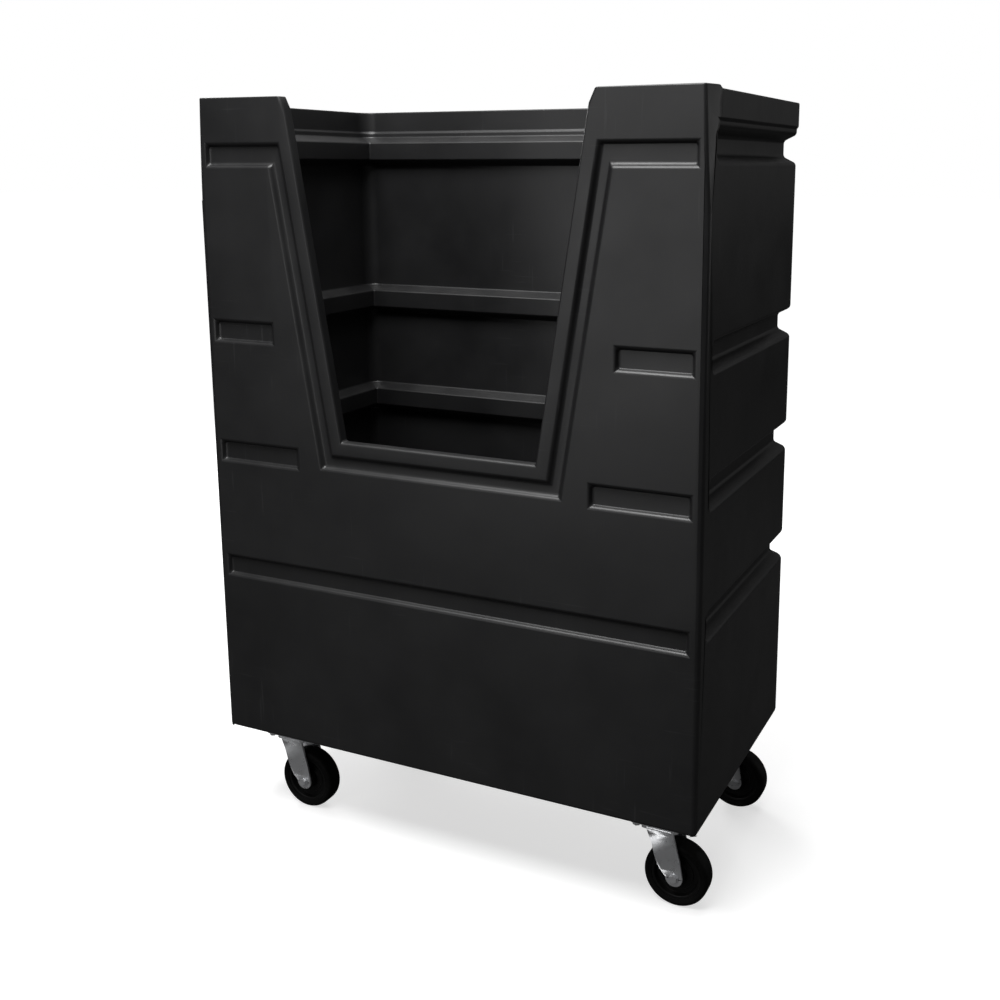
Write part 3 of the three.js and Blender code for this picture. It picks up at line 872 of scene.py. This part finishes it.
def model_fork():
    """One pressed piece: a crown, two legs folded down from it, and a round boss at each axle end."""
    steel = FORK_STEEL
    low = Vector((-37 * MM, -FORK_HALF, CROWN_TOP - CROWN_THICKNESS))
    fork = block("fork", low, (41 * MM, FORK_HALF, CROWN_TOP))
    edit(fork)
    for y in (steel - FORK_HALF, FORK_HALF - steel):
        bpy.ops.mesh.select_all(action="SELECT")
        bpy.ops.mesh.bisect(plane_co=(0, y, 0), plane_no=(0, 1, 0), threshold=1e-6)
    for x in (-24 * MM, 39 * MM):
        bpy.ops.mesh.select_all(action="SELECT")
        bpy.ops.mesh.bisect(plane_co=(x, 0, 0), plane_no=(1, 0, 0), threshold=1e-6)
    # Each step is a height and where the leg's front and back edges are there.
    edges = [-24 * MM, 39 * MM]
    level = CROWN_TOP - CROWN_THICKNESS
    pick_faces(fork, lambda middle, normal: normal.z < -0.9 and abs(middle.y) > FORK_HALF - steel
               and -24 * MM < middle.x < 39 * MM)
    steps = ((172, -21, 40.5), (156, -14, 44.5), (118, -4, 55), (92, 7, 59.6), (AXLE_Z / MM, 22, 62),
             (AXLE_Z / MM - 20, 22, 62))
    for height, back, front in steps:
        drop_by = height * MM - level
        bpy.ops.mesh.extrude_region_move(TRANSFORM_OT_translate={"value": (0, 0, drop_by)})
        level = height * MM
        width = (front - back) * MM
        old_middle, new_middle = sum(edges) / 2, (front + back) * MM / 2
        bpy.ops.transform.resize(
            value=(width / (edges[1] - edges[0]), 1, 1), center_override=(old_middle, 0, level))
        bpy.ops.transform.translate(value=(new_middle - old_middle, 0, 0))
        edges = [back * MM, front * MM]

    # The foot of each leg is round about the axle.
    pick_edges(fork, lambda a, b: abs(a.x - b.x) < 1e-5 and max(a.z, b.z) < level + 1e-5
               and abs(a.y - b.y) > 1e-4)
    bpy.ops.mesh.bevel(offset=19.9 * MM, segments=8, affect="EDGES")
    pick_edges(fork, lambda a, b: abs(a.x - b.x) < 1e-5 and abs(a.z - b.z) < 1e-5
               and 0.07 < a.z < 0.095 and abs(a.y - b.y) > 1e-4)
    bpy.ops.mesh.bevel(offset=6 * MM, segments=3, affect="EDGES")
    pick_edges(fork, lambda a, b: abs(a.x - b.x) < 1e-5 and abs(a.y - b.y) < 1e-5
               and min(a.z, b.z) > CROWN_TOP - CROWN_THICKNESS - 1e-5
               and not -24.5 * MM < a.x < 39.5 * MM and abs(abs(a.y) - FORK_HALF) < 1e-5)
    bpy.ops.mesh.bevel(offset=9 * MM, segments=5, affect="EDGES")
    pick_edges(fork, lambda a, b: abs(abs(a.y) - FORK_HALF) < 1e-5 and abs(abs(b.y) - FORK_HALF) < 1e-5
               and min(a.z, b.z) > CROWN_TOP - 1e-5 and -25 * MM < min(a.x, b.x))
    bpy.ops.mesh.bevel(offset=4.5 * MM, segments=4, affect="EDGES")
    bpy.ops.mesh.select_all(action="SELECT")
    bpy.ops.mesh.normals_make_consistent(inside=False)
    done()
    axle_hole = turned("axle_hole", [(6.7 * MM, -0.06), (6.7 * MM, 0.06)], "Y",
                       (TRAIL, 0, AXLE_Z), 32)
    pin_hole = turned("pin_hole", [
        (8.4 * MM, CROWN_TOP - CROWN_THICKNESS - 15 * MM), (8.4 * MM, CROWN_TOP + 10 * MM)], sides=32)
    for cutter in (axle_hole, pin_hole):
        drill(fork, cutter, "FAST")
        drop(cutter)
    round_edges(fork, 0.7 * MM, 2, 40)
    return fork


def threaded(name, radius, low, high, thread_from, axis, place):
    """A shank whose last stretch carries thread ridges."""
    pitch = 1.5 * MM
    depth = 0.6 * MM
    outline = [(radius - 1 * MM, low), (radius, low + 1 * MM)]
    height = thread_from
    while height + pitch < high - 1 * MM:
        outline += [(radius, height), (radius - depth, height + pitch / 2)]
        height += pitch
    outline += [(radius, high - 1 * MM), (radius - 1 * MM, high)]
    return turned(name, outline, axis, place, sides=24)


def model_caster():
    """Every piece of one caster about its kingpin: name -> (piece, finish, body, CAD node)."""
    axle = Vector((TRAIL, 0, AXLE_Z))
    face = FORK_HALF + 0.3 * MM
    race_low, race_high = CROWN_TOP + 0.3 * MM, PLATE_BOTTOM - 0.3 * MM
    crown_bottom = CROWN_TOP - CROWN_THICKNESS

    made = {"mounting_plate": (model_top_plate(), "zinc", "tub", "top_plate")}
    upper = turned("upper_race", [
        (12 * MM, race_high), (36 * MM, race_high), (36 * MM, race_high - 3 * MM),
        (33.6 * MM, race_low + 5 * MM), (32.4 * MM, race_low + 5 * MM), (33 * MM, race_high - 2 * MM),
        (12 * MM, race_high - 2 * MM),
    ], sides=64, closed=True)
    lower = turned("lower_race", [
        (12 * MM, race_low), (30 * MM, race_low), (31.6 * MM, race_low + 1.5 * MM),
        (31.4 * MM, race_low + 4 * MM), (30 * MM, race_low + 4 * MM), (28.6 * MM, race_low + 2 * MM),
        (12 * MM, race_low + 2 * MM),
    ], sides=64, closed=True)
    balls = []
    for i in range(18):
        angle = 2 * math.pi * i / 18
        deselect_all()
        bpy.ops.mesh.primitive_uv_sphere_add(
            segments=16, ring_count=10, radius=3.2 * MM,
            location=(25 * MM * math.cos(angle), 25 * MM * math.sin(angle), race_low + 5.6 * MM))
        balls.append(start_piece("ball"))
    made["upper_race"] = (upper, "zinc", "tub", "ball_race")
    made["race_balls"] = (join("race_balls", balls), "steel", "tub", None)
    made["lower_race"] = (lower, "zinc", "swivel", None)

    pin = turned("kingpin_stud", [
        (6.4 * MM, crown_bottom - 13.4 * MM), (8 * MM, crown_bottom - 12 * MM),
        (8 * MM, race_high - 1 * MM),
        (7 * MM, race_high),
    ], sides=32)
    nut = hexagon("kingpin_nut", 14 * MM, crown_bottom - 10.3 * MM, crown_bottom - 1.9 * MM,
                  bore=8.05 * MM)
    washer = turned("kingpin_washer", ring_outline(
        8.2 * MM, 14.5 * MM, crown_bottom - 1.8 * MM, crown_bottom - 0.1 * MM, 0.3 * MM), closed=True)
    made["kingpin_stud"] = (pin, "zinc", "tub", "kingpin")
    made["kingpin_nut"] = (join("kingpin_nut", [nut, washer]), "zinc", "tub", None)
    made["fork_pressing"] = (model_fork(), "zinc", "swivel", "fork")

    head = hexagon("head", 9.8 * MM, -face - 7 * MM, -face - 1.7 * MM, "Y", axle)
    flange = turned("flange", ring_outline(
        6.3 * MM, 11.5 * MM, -face - 1.7 * MM, -face, 0.3 * MM), "Y", axle, closed=True)
    shank = threaded("shank", 6.3 * MM, -face - 3 * MM, face + 10 * MM, face - 4 * MM, "Y", axle)
    made["axle_hex_bolt"] = (join("axle_hex_bolt", [shank, head, flange]), "zinc", "swivel",
                             "axle_bolt")
    lock_nut = hexagon("lock_nut", 9.8 * MM, face + 1.7 * MM, face + 7 * MM, "Y", axle, 6.35 * MM)
    collar = turned("collar", ring_outline(
        6.35 * MM, 8.2 * MM, face + 7 * MM, face + 9 * MM, 0.8 * MM), "Y", axle, closed=True)
    back_washer = turned("washer", ring_outline(
        6.5 * MM, 11.5 * MM, face, face + 1.6 * MM, 0.3 * MM), "Y", axle, closed=True)
    made["axle_lock_nut"] = (join("axle_lock_nut", [lock_nut, collar, back_washer]), "zinc",
                             "swivel", "axle_nut")
    gap_half = FORK_HALF - FORK_STEEL - 0.3 * MM
    sleeve = turned("spanner_bushing", ring_outline(
        6.8 * MM, 9.5 * MM, -gap_half, gap_half, 0.5 * MM), "Y", axle, closed=True)
    made["spanner_bushing"] = (sleeve, "steel", "swivel", "axle_sleeve")

    cage = [turned("cage", ring_outline(10 * MM, 14.6 * MM, low * MM, (low + 3) * MM, 0.4 * MM), "Y",
                   axle, closed=True) for low in (-24, 21)]
    made["bearing_cage"] = (join("bearing_cage", cage), "steel", "wheel", "roller_bearing")
    rollers = []
    for i in range(12):
        angle = 2 * math.pi * i / 12
        spot = axle + Vector((12.3 * MM * math.cos(angle), 0, 12.3 * MM * math.sin(angle)))
        rollers.append(turned("roller", rod_outline(2.1 * MM, -20.8 * MM, 20.8 * MM, 0.4 * MM), "Y",
                              spot, 16))
    made["bearing_rollers"] = (join("bearing_rollers", rollers), "steel", "wheel", None)

    core = turned("wheel_hub_and_web", [
        (14.9 * MM, -HUB_HALF), (21.5 * MM, -HUB_HALF), (23 * MM, -23.5 * MM), (24.5 * MM, -10 * MM),
        (27 * MM, -8 * MM), (35 * MM, -8 * MM), (36 * MM, -9.6 * MM), (38 * MM, -9.6 * MM),
        (39 * MM, -8 * MM), (47.5 * MM, -8 * MM), (49.6 * MM, -10 * MM), (51.5 * MM, -18 * MM),
        (53 * MM, -19 * MM), (57.5 * MM, -19 * MM),
        (57.5 * MM, 19 * MM), (53 * MM, 19 * MM), (51.5 * MM, 18 * MM), (49.6 * MM, 10 * MM),
        (47.5 * MM, 8 * MM), (39 * MM, 8 * MM), (38 * MM, 9.6 * MM), (36 * MM, 9.6 * MM),
        (35 * MM, 8 * MM), (27 * MM, 8 * MM), (24.5 * MM, 10 * MM), (23 * MM, 23.5 * MM),
        (21.5 * MM, HUB_HALF), (14.9 * MM, HUB_HALF),
    ], "Y", axle, sides=96, closed=True)
    made["wheel_centre"] = (core, "core", "wheel", "wheel_core")
    tread = turned("tread_ring", [
        (57.8 * MM, -21 * MM), (64 * MM, -22.2 * MM), (65 * MM, -22.9 * MM), (68 * MM, -22.9 * MM),
        (70.6 * MM, -22 * MM), (72.8 * MM, -20.2 * MM), (74.2 * MM, -17.5 * MM),
        (74.85 * MM, -13 * MM), (WHEEL_RADIUS, -6 * MM), (WHEEL_RADIUS, 6 * MM),
        (74.85 * MM, 13 * MM), (74.2 * MM, 17.5 * MM), (72.8 * MM, 20.2 * MM), (70.6 * MM, 22 * MM),
        (68 * MM, 22.9 * MM), (65 * MM, 22.9 * MM), (64 * MM, 22.2 * MM), (57.8 * MM, 21 * MM),
    ], "Y", axle, sides=120, closed=True)
    made["tread_ring"] = (tread, "tread", "wheel", "wheel_tread")
    return made


def model_carriage_bolt():
    seat = FLOOR_TOP + 0.3 * MM
    head = turned("head", [
        (5 * MM, seat), (10.6 * MM, seat), (11 * MM, seat + 0.6 * MM), (10 * MM, seat + 2.2 * MM),
        (8 * MM, seat + 3.8 * MM), (5 * MM, seat + 5 * MM), (2 * MM, seat + 5.5 * MM),
    ], sides=32)
    neck = block("neck", (-5 * MM, -5 * MM, seat - 6 * MM), (5 * MM, 5 * MM, seat))
    round_edges(neck, 0.6 * MM, 1)
    shank = threaded("shank", BOLT_RADIUS, BOLT_TIP, seat, BOLT_TIP + 30 * MM, "Z", (0, 0, 0))
    return join("carriage_bolt", [shank, neck, head])


def model_bolt_nut():
    nut = hexagon("nut", 9.2 * MM, PLATE_BOTTOM - 8.2 * MM, PLATE_BOTTOM - 1.8 * MM, bore=5.05 * MM)
    washer = turned("washer", ring_outline(
        5.4 * MM, 10.5 * MM, PLATE_BOTTOM - 1.7 * MM, PLATE_BOTTOM - 0.1 * MM, 0.3 * MM),
        sides=32, closed=True)
    return join("bolt_nut_and_washer", [nut, washer])


def build_casters(finishes):
    slots = {"zinc": "zinc_plate", "steel": "bearing_steel", "core": "wheel_core_plastic",
             "tread": "wheel_tread_rubber"}
    pattern = model_caster()
    for piece, *_ in pattern.values():
        smooth(piece, 40)
    bolt, nut = model_carriage_bolt(), model_bolt_nut()
    for piece in (bolt, nut):
        smooth(piece, 40)
    for place, offset in caster_places.items():
        for name, (piece, finish, body, replaced) in pattern.items():
            copied = copy_to(piece, f"{place}_{name}", offset)
            nodes = [f"{place}_{replaced}"] if replaced else []
            body_name = "tub" if body == "tub" else f"{place}_{body}"
            finish_piece(copied, finishes[finish], slots[finish], body_name, *nodes)
        for i, spot in enumerate(bolt_places(), 1):
            copied = copy_to(bolt, f"{place}_carriage_bolt_{i}", offset + spot)
            finish_piece(copied, finishes["zinc"], "zinc_plate", "tub", f"{place}_plate_bolt_{i}")
            copied = copy_to(nut, f"{place}_bolt_nut_{i}", offset + spot)
            finish_piece(copied, finishes["zinc"], "zinc_plate", "tub")
    for piece in [bolt, nut] + [entry[0] for entry in pattern.values()]:
        drop(piece)


# ---- Camera, light and floor ----
CAMERA_PLACE = (1.3106, -2.5077, 1.6258)
CAMERA_YAW = 24.8
CAMERA_PITCH = 11.0
CAMERA_LENS = 42.43
CAMERA_SHIFT = (-0.063, -0.105)


def model_camera():
    camera = bpy.data.objects.new("studio_camera", bpy.data.cameras.new("studio_camera"))
    bpy.context.scene.collection.objects.link(camera)
    camera.location = CAMERA_PLACE
    camera.rotation_euler = (math.radians(90 - CAMERA_PITCH), 0, math.radians(CAMERA_YAW))
    camera.data.lens = CAMERA_LENS
    camera.data.sensor_width = 36
    camera.data.shift_x, camera.data.shift_y = CAMERA_SHIFT
    bpy.context.scene.camera = camera


def softbox(name, place, aim, size, watts):
    light = bpy.data.objects.new(name, bpy.data.lights.new(name, "AREA"))
    bpy.context.scene.collection.objects.link(light)
    light.location = place
    light.rotation_euler = (Vector(aim) - Vector(place)).to_track_quat("-Z", "Y").to_euler()
    light.data.shape = "RECTANGLE"
    light.data.size, light.data.size_y = size
    light.data.energy = watts
    light.visible_camera = False


FLOOR_GLOW = 0.62
SKY_SEEN = 1.0
SKY_LIGHT = 0.10


def floor_finish():
    """White seamless paper. What it throws back onto the truck is kept low, as on a raised sweep."""
    paint = bpy.data.materials.new("studio_white")
    paint.use_nodes = True
    tree = paint.node_tree
    shader = tree.nodes["Principled BSDF"]
    shader.inputs["Base Color"].default_value = (0.62, 0.62, 0.62, 1)
    shader.inputs["Roughness"].default_value = 1.0
    shader.inputs["Specular IOR Level"].default_value = 0.0
    place = node(tree, "ShaderNodeTexCoord").outputs["Object"]
    away = node(tree, "ShaderNodeVectorMath", {0: place}, operation="LENGTH").outputs["Value"]
    glow = ramp(tree, away, 0.6, 9.0, FLOOR_GLOW, 1.0)
    light = node(tree, "ShaderNodeEmission", {"Color": (1, 1, 1, 1), "Strength": glow})
    seen = node(tree, "ShaderNodeAddShader", {0: shader.outputs[0], 1: light.outputs[0]})
    dull = node(tree, "ShaderNodeBsdfDiffuse", {"Color": (0.06, 0.06, 0.06, 1)})
    straight = node(tree, "ShaderNodeLightPath").outputs["Is Camera Ray"]
    both = node(tree, "ShaderNodeMixShader", {0: straight, 1: dull.outputs[0], 2: seen.outputs[0]})
    tree.links.new(both.outputs[0], tree.nodes["Material Output"].inputs["Surface"])
    return paint


def model_studio():
    """A plain white floor and sky, and soft light mostly from the front left and above."""
    deselect_all()
    bpy.ops.mesh.primitive_plane_add(size=1, location=(0, 0, 0))
    floor = bpy.context.active_object
    floor.name = "studio_floor"
    floor.scale = (120, 120, 1)
    bpy.ops.object.transform_apply(location=True, rotation=True, scale=True)
    floor.data.materials.append(floor_finish())
    world = bpy.data.worlds.new("studio_sky")
    world.use_nodes = True
    tree = world.node_tree
    sky = tree.nodes["Background"]
    sky.inputs["Color"].default_value = (1, 1, 1, 1)
    straight = node(tree, "ShaderNodeLightPath").outputs["Is Camera Ray"]
    tree.links.new(ramp(tree, straight, 0, 1, SKY_LIGHT, SKY_SEEN), sky.inputs["Strength"])
    bpy.context.scene.world = world
    bpy.context.scene.view_settings.view_transform = "Standard"
    softbox("front_left_softbox", (-1.25, -4.4, 1.35), (0.1, 0, 1.0), (1.8, 3.0), 29)
    softbox("overhead_front_key", (-0.3, -1.8, 4.2), (0, 0.1, 1.0), (2.0, 1.6), 165)
    softbox("top_softbox", (0, 0.4, 4.6), (0, 0, 0), (3.5, 3.5), 105)
    softbox("back_softbox", (-3.2, 3.4, 2.2), (0, 0, 1.0), (2.4, 2.0), 110)
    softbox("right_softbox", (3.9, 2.4, 1.8), (0.6, -0.3, 1.5), (0.9, 1.6), 9)


model_camera()
model_studio()
finishes = {
    "plastic": polyethylene(), "zinc": zinc(), "steel": bearing_steel(), "core": wheel_plastic(),
    "tread": rubber(), "deck": plywood(), "beam": hardwood(),
}
tub = model_tub()
deck = model_deck()
beams = {side: model_bolster(side) for side in ("left", "right")}
drills = bolt_drills(5.6 * MM)
for piece in (deck, *beams.values()):
    drill(piece, drills)
drop(drills)
round_edges(deck, 1 * MM, 1, 60)
for piece in (deck, *beams.values()):
    smooth(piece)
finish_piece(tub, finishes["plastic"], "tub_plastic", "tub", "tub_shell")
finish_piece(deck, finishes["deck"], "deck_plywood", "tub", "deck_board")
for side, beam in beams.items():
    finish_piece(beam, finishes["beam"], "bolster_wood", "tub", f"{side}_bolster")
build_casters(finishes)
